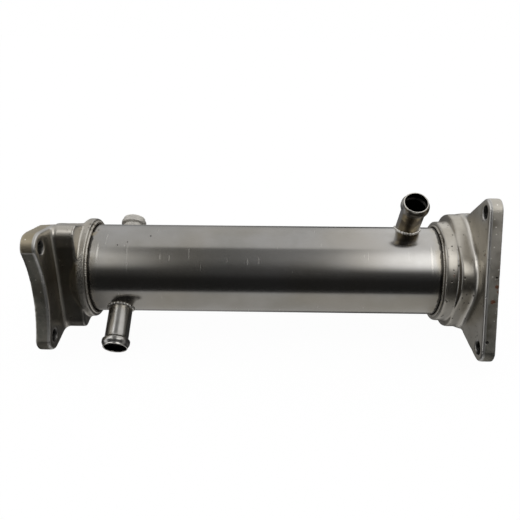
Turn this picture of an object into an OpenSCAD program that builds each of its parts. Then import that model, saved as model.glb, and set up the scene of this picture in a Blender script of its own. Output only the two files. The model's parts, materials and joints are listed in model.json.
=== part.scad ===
// Exhaust gas cooler: a shell-and-tube heat exchanger with a cast three-bolt flange on each end.
// Hot gas runs along +X through the tube bundle, and coolant fills the shell around it.
// The origin is where the gas axis meets the inlet flange's outer face.

/* [Shell] */
// Outer diameter of the shell tube
shell_od = 63.5; // [58:0.5:80]
// Wall of the shell tube
shell_wall = 1.5; // [1:0.1:2.5]
// Length of shell that shows between the two castings
shell_open = 246; // [160:0.5:400]
// Depth of the socket in each casting that the shell's end sits in
socket_depth = 8; // [6:0.5:10]
// Leg of the weld bead round each end of the shell
seam_leg = 2.6; // [2:0.1:3.5]

/* [Tube bundle] */
// Outer diameter of a gas tube
tube_od = 9.5; // [6:0.1:10]
// Wall of a gas tube
tube_wall = 0.5; // [0.3:0.05:1]
// Distance between neighbouring tube axes
tube_pitch = 11.6; // [11:0.1:12]
// Thickness of a tube sheet
sheet_t = 2; // [1:0.1:4]
// Distance from the shell's end to the tube sheet's outer face
sheet_inset = 3; // [2:0.5:6]
// How far the tubes stand out of the tube sheets
tube_proud = 0.6; // [0.2:0.1:1.5]
// Thickness of a baffle
baffle_t = 1.5; // [1:0.1:3]

/* [Inlet casting] */
// Length of the casting from flange face to collar rim
inlet_len = 30; // [28:0.25:45]
// Thickness of the flange
inlet_flange_t = 10; // [6:0.5:12]
// Height of the flange's centre line above the gas axis
inlet_lift = 3; // [0:0.5:5]
// Distance between the two near bolt holes
inlet_bolt_span = 65; // [60:0.5:80]
// Distance from the gas axis to the near bolt holes
inlet_bolt_reach = 48.6; // [46:0.2:56]
// Distance from the gas axis to the far bolt hole
inlet_far_reach = 57; // [54:0.5:70]
// Radius of the lobe round each bolt hole
inlet_lobe_r = 10; // [8.5:0.2:12]
// Depth of the bow in the near edge
inlet_bow = 7.5; // [3:0.5:9]
// Distance from the gas axis to the block's flat near face
inlet_block_reach = 31; // [30:0.5:34]
// Height of the block
inlet_block_h = 77; // [72:0.5:82]
// Length of the block behind the flange
inlet_block_len = 15; // [10:0.5:17]
// Radius of the block's long corners
inlet_block_round = 7; // [4:0.5:9]
// Radius of the round body behind the flange
inlet_body_r = 32.4; // [32:0.2:36]
// Length of the round body behind the flange
inlet_body_len = 5; // [3:0.5:6]
// Radius of the waist between body and collar
inlet_waist_r = 31.2; // [29:0.2:32]
// Length of the flare from waist to collar
inlet_flare_len = 6; // [4:0.5:8]
// Diameter of the gas port
inlet_port_d = 52; // [40:0.5:54]

/* [Outlet casting] */
// Length of the casting from flange face to collar rim
outlet_len = 28.5; // [27:0.25:45]
// Thickness of the flange
outlet_flange_t = 9; // [6:0.5:12]
// Turn of the outlet flange about the gas axis against the inlet flange
outlet_turn = 16.6; // [0:0.2:30]
// Distance between the two near bolt holes
outlet_bolt_span = 90; // [84:0.5:100]
// Distance from the gas axis to the near bolt holes
outlet_bolt_reach = 46; // [44:0.5:56]
// Distance from the gas axis to the far bolt hole
outlet_far_reach = 64; // [58:0.5:70]
// Radius of the lobe round each bolt hole
outlet_lobe_r = 9; // [8:0.2:12]
// Radius of the lobe round the far bolt hole
outlet_far_lobe_r = 13.5; // [9:0.2:16]
// Radius of the round body behind the flange
outlet_body_r = 42; // [40:0.5:45]
// Width of the flange's rim round the body
outlet_lip = 0.4; // [0.2:0.1:2]
// Length of the round body behind the flange
outlet_body_len = 10.8; // [8:0.2:12]
// Radius on the edge of the body's shoulder
outlet_shoulder_round = 0.8; // [0.4:0.1:2]
// Distance from the gas axis to the body's flats at the bolts
outlet_flat_reach = 38.4; // [38:0.2:40]
// Diameter of the gas port
outlet_port_d = 58; // [40:0.5:59]

/* [Both castings] */
// Diameter of the bolt holes
bolt_hole_d = 8.5; // [6.5:0.1:10]
// Wall of the collar round the shell's end
collar_wall = 4.4; // [3:0.1:6]
// Radius of the fillet between body and flange
root_fillet = 3; // [1:0.2:4]
// Length of the collar's straight land at its rim
collar_land = 6.5; // [3:0.5:7.5]
// Radius on the collar's edges
collar_round = 1.8; // [0.5:0.1:2.5]

/* [Coolant pipes] */
// Outer diameter of the stubs
pipe_od = 16.5; // [12:0.1:20]
// Wall of a stub
pipe_wall = 0.9; // [0.7:0.1:1.5]
// Height of the hose bead above the stub
bead_h = 1.5; // [0.8:0.1:2]
// Length of the hose bead from its foot to the stub's mouth
bead_len = 7; // [5:0.5:9]
// Length of the bead's rise to its crest
bead_rise = 1.8; // [1:0.1:3]
// Length of the bead's crest
bead_crest = 1.6; // [0.8:0.1:2.5]
// Leg of the braze bead round each stub
pipe_leg = 1.8; // [1:0.1:2.5]
// Distance from the gas axis to the lower stub's mouth
lower_reach = 62.4; // [52:0.5:80]
// Distance from the gas axis to the upper stub's mouth
upper_reach = 54.6; // [48:0.2:70]
// Distance from the gas axis to the rear stub's mouth
rear_reach = 52.6; // [48:0.2:70]
// Distance from the inlet seam to the lower stub's axis
lower_set = 20.2; // [17:0.2:40]
// Distance from the outlet seam to the upper stub's axis
upper_set = 20.6; // [17:0.2:40]
// Distance from the inlet seam to the rear stub's axis
rear_set = 16.4; // [14.4:0.2:40]
// Direction of the lower stub, counted from the near side upwards
lower_turn = -35.6; // [-60:0.2:-20]
// Direction of the upper stub
upper_turn = 54.6; // [30:0.2:90]
// Direction of the rear stub
rear_turn = 138.6; // [120:0.2:180]
// How far the lower stub's axis passes below the gas axis
lower_offset = 3.8; // [0:0.1:8]
// How far the upper stub's axis passes above the gas axis
upper_offset = 21.5; // [0:0.1:21.5]
// How far the rear stub's axis passes behind the gas axis
rear_offset = 21.5; // [0:0.1:21.5]

/* [Fits] */
// Gap at brazed and welded fits
braze_gap = 0.05; // [0.02:0.01:0.1]
// Gap between a baffle and the tubes and shell
baffle_gap = 0.2; // [0.1:0.05:0.4]

/* [Hidden] */
$fn = 96;
eps = 0.01;
past = 1;
steel = "#b9b8b4";
cast_steel = "#a39d93";
weld_steel = "#8d8880";
tinted_steel = "#9a917f";

shell_r = shell_od / 2;
shell_ir = shell_r - shell_wall;
collar_r = shell_r + collar_wall;
inlet_rim_x = inlet_len;
outlet_rim_x = inlet_rim_x + shell_open;
outlet_face_x = outlet_rim_x + outlet_len;
shell_start_x = inlet_rim_x - socket_depth + braze_gap;
shell_end_x = outlet_rim_x + socket_depth - braze_gap;

inlet_sheet_x = shell_start_x + sheet_inset;
outlet_sheet_x = shell_end_x - sheet_inset - sheet_t;
tube_start_x = inlet_sheet_x - tube_proud;
tube_end_x = outlet_sheet_x + sheet_t + tube_proud;
tube_rings = 2;
row_pitch = tube_pitch * sqrt(3) / 2;
tube_places = [
    for (row = [-tube_rings : tube_rings], step = [-tube_rings : tube_rings])
        if (abs(row + step) <= tube_rings) [tube_pitch * (step + row / 2), row_pitch * row]
];
baffle_edge = row_pitch * (tube_rings - 0.5);
baffle_count = 2;

// Bolt holes and lobes as [Y, Z] round the flange's own centre
inlet_near = [-inlet_bolt_reach, inlet_bolt_span / 2];
inlet_far = [inlet_far_reach, 0];
inlet_corner = [-inlet_block_reach + inlet_block_round, inlet_block_h / 2 - inlet_block_round];
inlet_bow_r = (pow(inlet_near[1], 2) + pow(inlet_bow, 2)) / (2 * inlet_bow);
outlet_near = [-outlet_bolt_reach, outlet_bolt_span / 2];
outlet_far = [outlet_far_reach, 0];
outlet_hub_r = outlet_body_r + outlet_lip;
outlet_bolt_turn = atan2(outlet_near[1], outlet_bolt_reach);

// Body of the outlet casting: directions of its flats, and of its round corners with half the turn there
outlet_flats = [outlet_bolt_turn, 180, -outlet_bolt_turn];
side_half = (180 - outlet_bolt_turn) / 2;
outlet_corners = [[0, outlet_bolt_turn], [180 - side_half, side_half], [side_half - 180, side_half]];
flat_ends = [
    for (i = [0 : 2]) each [
        flat_end(outlet_flats[i], outlet_corners[i]), flat_end(outlet_flats[i], outlet_corners[(i + 1) % 3])
    ]
];

tube_names = [for (i = [0 : len(tube_places) - 1]) str("gas_tube_", i < 9 ? "0" : "", i + 1)];

function flip(p) = [p[0], -p[1]];
function unit(v) = v / norm(v);

// Point at a distance from the gas axis, in a direction counted from the near side upwards
function towards(turn, distance) = distance * [-cos(turn), sin(turn)];

// A round corner touches the flats on both its sides and reaches out to the body's radius
function corner_set(half) = (outlet_body_r - outlet_flat_reach) / (1 - cos(half));
function corner_r(half) = outlet_flat_reach - corner_set(half) * cos(half);
function corner_place(corner) = towards(corner[0], corner_set(corner[1]));
function flat_end(flat, corner) = corner_place(corner) + towards(flat, corner_r(corner[1]) - eps);

// Extrudes a drawing in Y and Z along +X, from x
module plate(x, length) {
    translate([x, 0, 0]) rotate([90, 0, 90]) linear_extrude(length) children();
}

// Turns a drawing of radius and X about the gas axis
module turned() {
    rotate([0, 90, 0]) rotate_extrude() children();
}

// A straight rod along +X
module rod(x, r, length) {
    translate([x, 0, 0]) rotate([0, 90, 0]) cylinder(r = r, h = length);
}

// Rectangle of radius and X in a turned drawing, with its outer corners rounded
module turned_band(r, x0, x1, round) {
    translate([0, x0]) square([r - round, x1 - x0]);
    translate([0, x0 + round]) square([r, x1 - x0 - 2 * round]);
    for (x = [x0 + round, x1 - round]) translate([r - round, x]) circle(round);
}

// Two discs and the straight tangents between them, drawn a hair inside the discs so that they cross
module link(a, ra, b, rb) {
    along = unit(b - a);
    side = [-along[1], along[0]];
    lean = (ra - rb) / norm(b - a);
    square_part = sqrt(1 - lean * lean);
    left = lean * along + square_part * side;
    right = lean * along - square_part * side;
    translate(a) circle(ra);
    translate(b) circle(rb);
    near = ra - eps;
    far = rb - eps;
    polygon([a + near * left, b + far * left, b + far * right, a + near * right]);
}

// Cove along a straight edge from a to b, on the left of a wall that stands on the plane at x
module cove_line(a, b, x) {
    along = unit(b - a);
    translate([x, a[0], a[1]]) multmatrix([
        [0, 1, 0, 0],
        [-along[1], 0, along[0], 0],
        [along[0], 0, along[1], 0]
    ])
        linear_extrude(norm(b - a)) cove_profile();
}

module cove_profile() {
    difference() {
        translate([-eps, -eps]) square(root_fillet + eps);
        translate([root_fillet, root_fillet]) circle(root_fillet + eps);
    }
}

// Cove round a disc that stands on the plane at x
module cove_ring(c, r, x) {
    translate([x, c[0], c[1]]) rotate([0, 90, 0]) rotate_extrude() translate([r, 0]) cove_profile();
}

// Gas way through a casting: port, flare and the socket for the shell's end
module gas_way(port_r, length) {
    flare_x = length - socket_depth - (shell_ir - port_r) - sheet_inset / 2;
    turned() {
        translate([0, -past]) square([port_r, length]);
        polygon([
            [0, flare_x], [port_r, flare_x], [shell_ir, flare_x + shell_ir - port_r],
            [shell_ir, length], [0, length]
        ]);
        translate([0, length - socket_depth]) square([shell_r + braze_gap, socket_depth + past]);
    }
}

module bolt_hole(p, thickness) {
    translate([0, p[0], p[1]]) rod(-past, bolt_hole_d / 2, thickness + 2 * past);
}

// Three lobes, the block's corners and the round body, joined by straight edges, near edge bowed in
module inlet_outline() {
    difference() {
        union() {
            translate([0, inlet_lift]) {
                for (side = [1, -1]) {
                    near = [inlet_near[0], side * inlet_near[1]];
                    corner = [inlet_corner[0], side * inlet_corner[1]];
                    link(near, inlet_lobe_r, corner, inlet_block_round);
                    link(corner, inlet_block_round, inlet_far, inlet_lobe_r);
                }
                polygon([
                    inlet_near - [inlet_lobe_r, 0], inlet_near, inlet_corner, inlet_far,
                    flip(inlet_corner), flip(inlet_near), flip(inlet_near) - [inlet_lobe_r, 0]
                ]);
            }
            circle(inlet_body_r);
        }
        translate([inlet_near[0] - inlet_lobe_r + inlet_bow - inlet_bow_r, inlet_lift]) circle(inlet_bow_r);
    }
}

// Block behind the inlet flange: flat near face, rounded corners, running back onto the waist
module inlet_block_outline() {
    for (side = [1, -1])
        link(
            [inlet_corner[0], inlet_lift + side * inlet_corner[1]], inlet_block_round,
            [0, 0], inlet_waist_r
        );
    translate([-inlet_block_reach, inlet_lift - inlet_corner[1]])
        square([inlet_block_reach, 2 * inlet_corner[1]]);
}

module inlet_root() {
    top = [inlet_corner[0], inlet_lift + inlet_corner[1]];
    bottom = [inlet_corner[0], inlet_lift - inlet_corner[1]];
    wall = [-inlet_block_round, 0];
    intersection() {
        union() {
            cove_line(bottom + wall, top + wall, inlet_flange_t);
            cove_ring(top, inlet_block_round, inlet_flange_t);
            cove_ring(bottom, inlet_block_round, inlet_flange_t);
        }
        plate(inlet_flange_t - past, root_fillet + 2 * past) inlet_outline();
    }
}

module inlet_casting() color(cast_steel) difference() {
    union() {
        plate(0, inlet_flange_t) inlet_outline();
        plate(inlet_flange_t - past, inlet_block_len + past) inlet_block_outline();
        inlet_root();
        difference() {
            turned()
                turned_band(inlet_body_r, inlet_flange_t / 2, inlet_flange_t + inlet_body_len, collar_round);
            translate([inlet_flange_t, -inlet_body_r - inlet_block_reach, -inlet_body_r])
                cube([inlet_len, inlet_body_r, 2 * inlet_body_r]);
        }
        turned() {
            land_x = inlet_len - collar_land + collar_round / 2;
            waist_x = land_x - inlet_flare_len;
            square([inlet_waist_r, land_x]);
            polygon([
                [0, waist_x], [inlet_waist_r, waist_x], [collar_r - collar_round / 4, land_x], [0, land_x]
            ]);
            turned_band(collar_r, inlet_len - collar_land, inlet_len, collar_round);
        }
    }
    gas_way(inlet_port_d / 2, inlet_len);
    translate([0, 0, inlet_lift])
        for (p = [inlet_near, flip(inlet_near), inlet_far]) bolt_hole(p, inlet_flange_t);
}

// Triangle of three lobes round the body, with a straight near edge
module outlet_outline() {
    link(outlet_near, outlet_lobe_r, flip(outlet_near), outlet_lobe_r);
    for (side = [1, -1]) {
        near = [outlet_near[0], side * outlet_near[1]];
        link(near, outlet_lobe_r, outlet_far, outlet_far_lobe_r);
    }
    polygon([outlet_near, outlet_far, flip(outlet_near)]);
    circle(outlet_hub_r);
}

// Body behind the outlet flange: round corners, and flats that leave room for the bolt heads
module outlet_body(shoulder_x) {
    root_x = outlet_flange_t / 2;
    for (corner = outlet_corners) {
        place = corner_place(corner);
        translate([0, place[0], place[1]])
            turned() turned_band(corner_r(corner[1]), root_x, shoulder_x, outlet_shoulder_round);
    }
    plate(root_x, shoulder_x - outlet_shoulder_round - root_x) polygon(flat_ends);
}

module outlet_root() {
    intersection() {
        union() {
            for (corner = outlet_corners)
                cove_ring(corner_place(corner), corner_r(corner[1]), outlet_flange_t);
            for (i = [0 : 2]) cove_line(flat_ends[2 * i], flat_ends[2 * i + 1], outlet_flange_t);
        }
        plate(outlet_flange_t - past, root_fillet + 2 * past) outlet_outline();
    }
}

// Outlet casting in its own frame: flange face at X = 0, collar towards +X
module outlet_form() {
    shoulder_x = outlet_flange_t + outlet_body_len;
    difference() {
        union() {
            plate(0, outlet_flange_t) outlet_outline();
            outlet_body(shoulder_x);
            outlet_root();
            turned() {
                cone_r = outlet_body_r - collar_wall;
                polygon([
                    [0, shoulder_x - outlet_shoulder_round], [cone_r, shoulder_x - outlet_shoulder_round],
                    [cone_r, shoulder_x - eps], [collar_r, shoulder_x + collar_round],
                    [0, shoulder_x + collar_round]
                ]);
                turned_band(collar_r, shoulder_x - collar_round, outlet_len, collar_round);
            }
        }
        gas_way(outlet_port_d / 2, outlet_len);
        for (p = [outlet_near, flip(outlet_near), outlet_far]) bolt_hole(p, outlet_flange_t);
    }
}

module outlet_casting() color(cast_steel)
    translate([outlet_face_x, 0, 0]) mirror([1, 0, 0]) rotate([-outlet_turn, 0, 0]) outlet_form();

// Puts a stub's own +Z along its direction, at its place on the shell
module at_stub(x, turn, offset) {
    translate([x, 0, 0]) rotate([90 - turn, 0, 0]) translate([0, offset, 0]) children();
}

module at_lower_stub() at_stub(inlet_rim_x + lower_set, lower_turn, -lower_offset) children();

module at_upper_stub() at_stub(outlet_rim_x - upper_set, upper_turn, upper_offset) children();

module at_rear_stub() at_stub(inlet_rim_x + rear_set, rear_turn, rear_offset) children();

module stub_hole(od) cylinder(r = od / 2 + braze_gap, h = 2 * shell_od);

module shell() color(steel) difference() {
    rod(shell_start_x, shell_r, shell_end_x - shell_start_x);
    rod(shell_start_x - past, shell_ir, shell_end_x - shell_start_x + 2 * past);
    at_lower_stub() stub_hole(pipe_od);
    at_upper_stub() stub_hole(pipe_od);
    at_rear_stub() stub_hole(pipe_od);
}

// Half section of a stub's outside, as radius and distance from the gas axis
module stub_profile(r, reach) {
    polygon([
        [0, 0], [r, 0], [r, reach - bead_len], [r + bead_h, reach - bead_len + bead_rise],
        [r + bead_h, reach - bead_len + bead_rise + bead_crest], [r, reach], [0, reach]
    ]);
}

// Stub of one wall throughout, its bead rolled out and its inner end coped to the shell
module stub(od, reach) {
    bore_r = od / 2 - pipe_wall;
    rotate_extrude() difference() {
        stub_profile(od / 2, reach);
        stub_profile(bore_r, reach);
        translate([-past, reach - eps]) square([bore_r + past, past]);
    }
}

module coped() {
    difference() {
        children();
        rod(0, shell_ir, outlet_face_x);
    }
}

module lower_coolant_pipe() color(steel) coped() at_lower_stub() stub(pipe_od, lower_reach);

module upper_coolant_pipe() color(tinted_steel) coped() at_upper_stub() stub(pipe_od, upper_reach);

module rear_coolant_pipe() color(steel) coped() at_rear_stub() stub(pipe_od, rear_reach);

// Blank of a braze bead round a stub, in the stub's own frame
module bead_blank(od) {
    difference() {
        cylinder(r = od / 2 + pipe_leg, h = shell_od);
        translate([0, 0, -past]) cylinder(r = od / 2 + braze_gap, h = shell_od + 2 * past);
    }
}

// Keeps what lies within a bead's height of the shell's outside
module on_shell() {
    difference() {
        intersection() {
            children();
            rod(0, shell_r + pipe_leg, outlet_face_x);
        }
        rod(-past, shell_r + braze_gap, outlet_face_x + 2 * past);
    }
}

module lower_pipe_weld() color(weld_steel) on_shell() at_lower_stub() bead_blank(pipe_od);

module upper_pipe_weld() color(weld_steel) on_shell() at_upper_stub() bead_blank(pipe_od);

module rear_pipe_weld() color(weld_steel) on_shell() at_rear_stub() bead_blank(pipe_od);

// Quarter-round bead on the shell against a collar's rim at x, growing towards dir
module seam_bead(x, dir) {
    turned() intersection() {
        translate([shell_r, x]) circle(seam_leg);
        translate([shell_r + braze_gap, dir > 0 ? x : x - seam_leg]) square(seam_leg);
    }
}

module inlet_shell_weld() color(weld_steel) seam_bead(inlet_rim_x + braze_gap, 1);

module outlet_shell_weld() color(weld_steel) seam_bead(outlet_rim_x - braze_gap, -1);

module tube_sheet(x) {
    difference() {
        rod(x, shell_ir - braze_gap, sheet_t);
        for (p = tube_places)
            translate([0, p[0], p[1]]) rod(x - past, tube_od / 2 + braze_gap, sheet_t + 2 * past);
    }
}

module inlet_tube_sheet() color(steel) tube_sheet(inlet_sheet_x);

module outlet_tube_sheet() color(steel) tube_sheet(outlet_sheet_x);

module gas_tube(i) color(steel) translate([0, tube_places[i][0], tube_places[i][1]]) difference() {
    rod(tube_start_x, tube_od / 2, tube_end_x - tube_start_x);
    rod(tube_start_x - past, tube_od / 2 - tube_wall, tube_end_x - tube_start_x + 2 * past);
}

// Disc with one side cut away between two tube rows, so that coolant passes there
module baffle(i) color(steel) {
    x = shell_start_x + (shell_end_x - shell_start_x) * i / (baffle_count + 1);
    side = i % 2 == 0 ? 1 : -1;
    r = shell_ir - baffle_gap;
    difference() {
        rod(x, r, baffle_t);
        translate([x - past, -r, side > 0 ? baffle_edge : -baffle_edge - r])
            cube([baffle_t + 2 * past, 2 * r, r]);
        for (p = tube_places)
            translate([0, p[0], p[1]]) rod(x - past, tube_od / 2 + baffle_gap, baffle_t + 2 * past);
    }
}

shell();
inlet_casting();
outlet_casting();
inlet_tube_sheet();
outlet_tube_sheet();
baffle(1);  // baffle_1
baffle(2);  // baffle_2
lower_coolant_pipe();
upper_coolant_pipe();
rear_coolant_pipe();
inlet_shell_weld();
outlet_shell_weld();
lower_pipe_weld();
upper_pipe_weld();
rear_pipe_weld();
for (i = [0 : len(tube_names) - 1]) gas_tube(i);
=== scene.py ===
"""Looks of an exhaust gas cooler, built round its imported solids.

The solids give every size and place. This file adds the cast skin, the rolled stubs, the rippled
welds, the finishes and the studio.
"""

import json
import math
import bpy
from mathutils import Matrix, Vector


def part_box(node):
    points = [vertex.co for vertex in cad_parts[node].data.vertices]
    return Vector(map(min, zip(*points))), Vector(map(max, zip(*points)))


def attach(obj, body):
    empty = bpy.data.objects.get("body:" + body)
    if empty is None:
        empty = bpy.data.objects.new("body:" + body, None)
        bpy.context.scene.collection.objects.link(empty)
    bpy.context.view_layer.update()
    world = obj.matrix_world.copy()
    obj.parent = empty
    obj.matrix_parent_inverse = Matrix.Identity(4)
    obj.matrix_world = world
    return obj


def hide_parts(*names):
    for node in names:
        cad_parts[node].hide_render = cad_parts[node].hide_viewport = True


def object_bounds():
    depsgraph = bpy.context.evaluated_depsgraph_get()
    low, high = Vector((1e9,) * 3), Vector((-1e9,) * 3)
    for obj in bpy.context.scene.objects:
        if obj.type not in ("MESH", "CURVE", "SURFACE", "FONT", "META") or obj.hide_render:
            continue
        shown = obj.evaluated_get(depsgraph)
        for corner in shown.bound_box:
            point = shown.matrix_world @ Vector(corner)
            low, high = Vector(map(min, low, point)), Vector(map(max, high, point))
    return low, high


bl_info = {
    "name": "Exhaust gas cooler",
    "version": (1, 0, 0),
    "blender": (4, 5, 0),
    "location": "View3D > Sidebar > Gas cooler",
    "description": "Dresses the packed solids of an exhaust gas cooler",
    "category": "Object",
}

from functools import partial, partialmethod, reduce
from types import SimpleNamespace

import bmesh
import bpy
import numpy as np
from bpy.props import FloatProperty, FloatVectorProperty, IntProperty, PointerProperty
from mathutils import Matrix, Vector, noise

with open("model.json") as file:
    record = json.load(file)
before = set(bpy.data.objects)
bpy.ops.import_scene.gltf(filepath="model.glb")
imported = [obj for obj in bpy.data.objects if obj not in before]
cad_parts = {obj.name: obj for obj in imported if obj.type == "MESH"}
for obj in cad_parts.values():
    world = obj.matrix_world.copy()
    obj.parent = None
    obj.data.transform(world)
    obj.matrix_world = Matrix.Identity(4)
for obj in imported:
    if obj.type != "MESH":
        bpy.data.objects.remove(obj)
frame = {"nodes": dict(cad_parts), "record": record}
CAD_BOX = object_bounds()
MOUNTS = {m["name"]: m for m in frame["record"]["mounts"]}
MM = 0.001
BODY = "root"

SHELL_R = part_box("shell")[1].z
TUBES = sorted(n for n in frame["nodes"] if n.startswith("gas_tube"))
BOLT_R = MOUNTS["inlet_bolts"]["dims"]["hole_r_mm"] * MM

# Sizes of the solids that the record does not hold. LOBE_CREASE is the height of the crease on the
# inlet's upper lobe, and SHOULDER is how deep the outlet body's step lies behind its face.
SHELL_WALL = 1.5 * MM
COLLAR_R = 36.15 * MM
BLOCK_REACH = 31 * MM
LOBE_CREASE = 35.4 * MM
SHOULDER = 19.8 * MM

# The castings: places along the gas axis, turn, bolt holes as Y and Z in mm, and the shares of
# pits, stains, painted highlight on fillets, painted shade at roots and seam bead that the
# photograph shows on each
INLET = SimpleNamespace(
    name="inlet", face=0.0, rim=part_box("inlet_casting")[1].x, inward=1, flange=10 * MM, turn=0.0,
    holes=((-48.6, 35.5), (-48.6, -29.5), (57, 3)),
    pitted=0.4, stained=0.3, fillet=0.3, root=0.6, seam=1.0,
)
OUTLET = SimpleNamespace(
    name="outlet", face=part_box("outlet_casting")[1].x, rim=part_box("outlet_casting")[0].x,
    inward=-1, flange=9 * MM, turn=math.radians(16.6),
    holes=((-46, 45), (-46, -45), (64, 0)),
    pitted=0.9, stained=0.45, fillet=0.65, root=0.35, seam=0.75,
)
MIDDLE = (INLET.rim + OUTLET.rim) / 2

# The outlet's body round the gas axis: how far its corners and flats reach, and where they lie
# from its near corner, which is midway between two bolts. A corner has its turn and half its arc.
BOLT_TURN = math.atan2(OUTLET.holes[0][1], -OUTLET.holes[0][0])
BODY_REACH, BODY_FLAT = 42 * MM, 38.4 * MM
BODY_SIDE = (math.pi - BOLT_TURN) / 2
BODY_FLATS = (BOLT_TURN, math.pi, -BOLT_TURN)
BODY_CORNERS = (
    (0, BOLT_TURN), (math.pi - BODY_SIDE, BODY_SIDE), (BODY_SIDE - math.pi, BODY_SIDE),
)

# The coolant stubs: share of brown heat tint, dullness, slot, and how ragged the braze is
STUBS = {
    "lower": SimpleNamespace(heat=0.1, dull=0.0, slot="pipe_steel", ragged=1.25),
    "upper": SimpleNamespace(heat=0.95, dull=0.0, slot="tinted_steel", ragged=1.0),
    "rear": SimpleNamespace(heat=0.1, dull=0.4, slot="pipe_steel", ragged=1.0),
}

# How finely round pieces are stepped
STUB_TURNS, STUB_FOOT_ROWS = 112, 16
SEAM_TURNS, BRAZE_TURNS, ROOM_TURNS = 180, 120, 96

# The photograph's camera, found by fitting the solids' outlines
VIEW_TILT = math.radians(24.6)
CAMERA_PLACE = (0.15804, -0.3909, 0.17897)
CAMERA_LEAN = (0.0196, 0.0152, -0.0111)
CAMERA_LENS, CAMERA_SENSOR, CAMERA_CLIP = 40.26, 36, 0.01

# Marks that show in the photograph, in mm: rings as X and width, ticks as X and Z, and the rest as
# spots with X, Y, Z and radius
SHELL_RINGS = ((37.4, 0.8), (58.4, 0.4), (267.9, 0.8))
SHELL_TICKS = ((81.3, 19.6), (87.6, 19.1), (141.7, 17.3), (149.3, 17.9))
SHELL_PITS = ((50.9, -18.7, 25.6, 0.7), (57.6, -16.6, 27.1, 0.6), (73.0, -11.3, 29.7, 0.8))
SEAM_START = (
    (29.6, -9.0, 33.4, 1.9), (29.4, -4.6, 34.6, 2.1), (30.4, -1.4, 34.0, 2.0),
    (31.5, -6.5, 31.9, 1.6), (34.5, -5.0, 31.3, 0.9),
)
SEAM_STOP = ((32.2, -9.8, 30.2, 2.4), (33.6, -8.2, 30.7, 1.6))
CAST_PITS = (
    (302.4, -51.7, 19.1, 0.9), (298.5, -63.9, -21.8, 1.5), (295.4, -8.0, 41.2, 0.8),
    (291.2, -21.9, 31.8, 0.8), (286.5, -39.8, 13.2, 0.9), (288.5, -39.0, 12.4, 0.7),
)
CAST_RUST = ((302.8, -53.4, 13.5, 1.7), (304.2, -54.3, 10.4, 1.5), (300.8, -56.2, 4.1, 2.0))

# How ragged the seam's marks are, and how far the flanges' rough edges reach from their faces
SEAM_FRAY, SAWN_DEPTH = 0.9, 9.5 * MM


def size(name, about, default, low, high):
    """A length, given in mm."""
    lengths = {"default": default * MM, "min": low * MM, "max": high * MM}
    return FloatProperty(name=name, description=about, unit="LENGTH", precision=5, **lengths)


def passes(name, about, default):
    """How often a rounding is repeated."""
    return IntProperty(name=name, description=about, default=default, min=0, max=60)


def colour(name, about, default):
    return FloatVectorProperty(
        name=name, description=about, default=default, size=3, min=0, max=1, subtype="COLOR"
    )


class CoolerSizes(bpy.types.PropertyGroup):
    cast_grain: size("Cast skin", "Edge length of the cast skin's faces", 0.7, 0.4, 2)
    cast_passes: passes("Cast rounding", "Passes that round the cast edges", 4)
    edge_passes: passes("Flange edges", "Passes that round the flanges' inner edges", 9)
    far_passes: passes("Far shoulder", "Passes that round the outlet's shoulder at the back", 16)
    body_flat: size("Body flat", "Reach of the outlet body's sunk flats", 36.5, 36.2, 38.4)
    cast_wave: size("Cast waviness", "Height of the waves in the cast skin", 0.06, 0, 0.5)
    wave_step: size("Wave length", "Distance between the waves in the cast skin", 6, 2, 20)
    stub_wall: size("Stub wall", "Wall of the coolant stubs", 0.9, 0.5, 2)
    bead_length: size("Bead length", "From the hose bead's foot to the mouth", 7, 4, 10)
    bead_rise: size("Bead rise", "From the hose bead's foot to its crest", 1.8, 1, 3)
    bead_crest: size("Bead crest", "Length of the hose bead's crest", 1.6, 0.5, 3)
    bead_height: size("Bead height", "Height of the hose bead", 1.5, 0.5, 3)
    seam_radius: size("Seam bead", "Radius of the weld round the shell's ends", 1.45, 0.5, 3)
    seam_pitch: size("Seam ripple", "Distance between the weld's ripples", 1.2, 0.5, 5)
    braze_radius: size("Braze bead", "Radius of the braze round a stub", 0.8, 0.4, 3)
    braze_pitch: size("Braze ripple", "Distance between the braze's lumps", 2.4, 0.5, 5)
    tube_weld: size("Tube weld", "Radius of the weld round a gas tube's end", 0.42, 0.2, 1)


class CoolerFinish(bpy.types.PropertyGroup):
    tube_bright: colour("Tube, bright", "Polished tube", (0.50, 0.49, 0.475))
    tube_dull: colour("Tube, dull", "Polished tube where it is stained", (0.42, 0.41, 0.385))
    cast_bright: colour("Cast, bright", "Blasted cast steel", (0.56, 0.53, 0.475))
    cast_dull: colour("Cast, dull", "Cast steel where it is stained", (0.42, 0.392, 0.335))
    sawn: colour("Flange edge", "Rough edges of the cast flanges", (0.33, 0.33, 0.285))
    # The machined colour also serves as painted highlight on the castings' edges, glints and inner
    # lips.
    machined_and_highlight: colour("Machined face", "Freshly cut cast steel", (0.62, 0.61, 0.59))
    # The scuffed colour also serves as painted highlight on the castings' fillets and crease.
    scuffed_and_highlight: colour("Scuffed steel", "Rings, ticks and edges rubbed bright", (0.85, 0.82, 0.76))
    weld: colour("Weld metal", "Weld and braze metal", (0.80, 0.78, 0.74))
    straw: colour("Straw tint", "Light heat tint beside a weld", (0.42, 0.35, 0.23))
    # The brown colour also serves as painted shade along the outlet's shoulder and in the welds'
    # hollows.
    brown_tint_and_shade: colour("Brown tint", "Strong heat tint", (0.072, 0.053, 0.027))
    # The blue colour is a painted sheen on the stubs' left flank.
    blue: colour("Blue tint", "Heat tint past brown", (0.30, 0.31, 0.33))
    rust: colour("Rust", "Rust in the castings' pits", (0.19, 0.065, 0.025))
    # The scale colour also serves as painted shade on the inlet's block, at the casting rims, along
    # the seams' toes and in the bolt holes.
    scale: colour("Scale", "Dark scale inside the bores and in pits", (0.018, 0.017, 0.016))
    # The bore colour, with scale, is painted shade inside the stubs.
    bore: colour("Bore", "Paler scale inside the bores", (0.05, 0.047, 0.043))
    core: colour("Core steel", "Brazed tube bundle", (0.36, 0.34, 0.31))


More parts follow.
